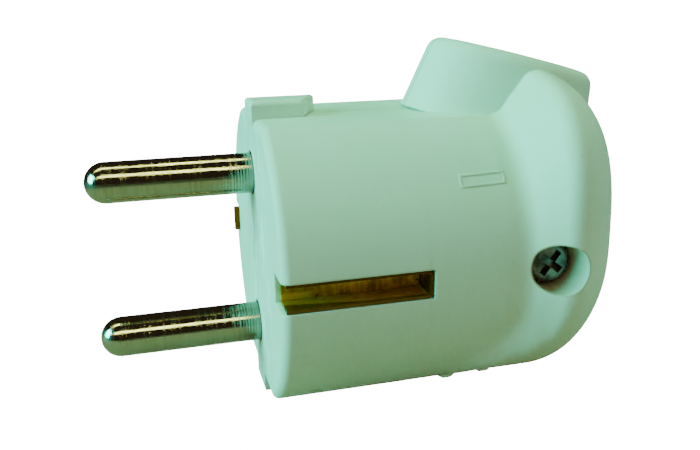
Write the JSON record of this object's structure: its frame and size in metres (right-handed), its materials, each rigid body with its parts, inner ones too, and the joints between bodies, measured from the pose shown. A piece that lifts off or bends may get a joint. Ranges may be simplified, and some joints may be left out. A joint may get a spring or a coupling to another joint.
{
  "type": "mains plug",
  "caption": "Angled rewirable mains plug with round pins, earth contacts in side slots and guide keys, in a split white housing whose flared grip carries the cable outlet on top.",
  "frame": {"origin": "centre of the engagement face, midway between the pins", "axes": "pins point along -X, +Z along the line of the pins towards the cable outlet, the halves part at y = 0 and the housing screw goes in from -Y"},
  "size_m": [0.0625, 0.0416, 0.0427],
  "materials": {
    "housing": "white moulded thermoset, satin gloss",
    "pins": "nickel plate on turned brass, lightly worn",
    "earth_contact": "bent strip, tarnished",
    "inner_fasteners": "zinc plated",
    "screw": "zinc plated, dulled",
    "clamp": "moulded, matt"
  },
  "bodies": {
    "root": {"cover_half": "housing", "base_half": "housing", "upper_pin": "pins", "lower_pin": "pins", "earth_bracket": "earth_contact", "earth_washer": "inner_fasteners", "earth_terminal_screw": "inner_fasteners", "upper_terminal_screw": "inner_fasteners", "lower_terminal_screw": "inner_fasteners", "housing_screw": "screw", "housing_nut": "screw", "cord_clamp_bar": "clamp", "cord_clamp_screws": "inner_fasteners"}
  },
  "joints": []
}
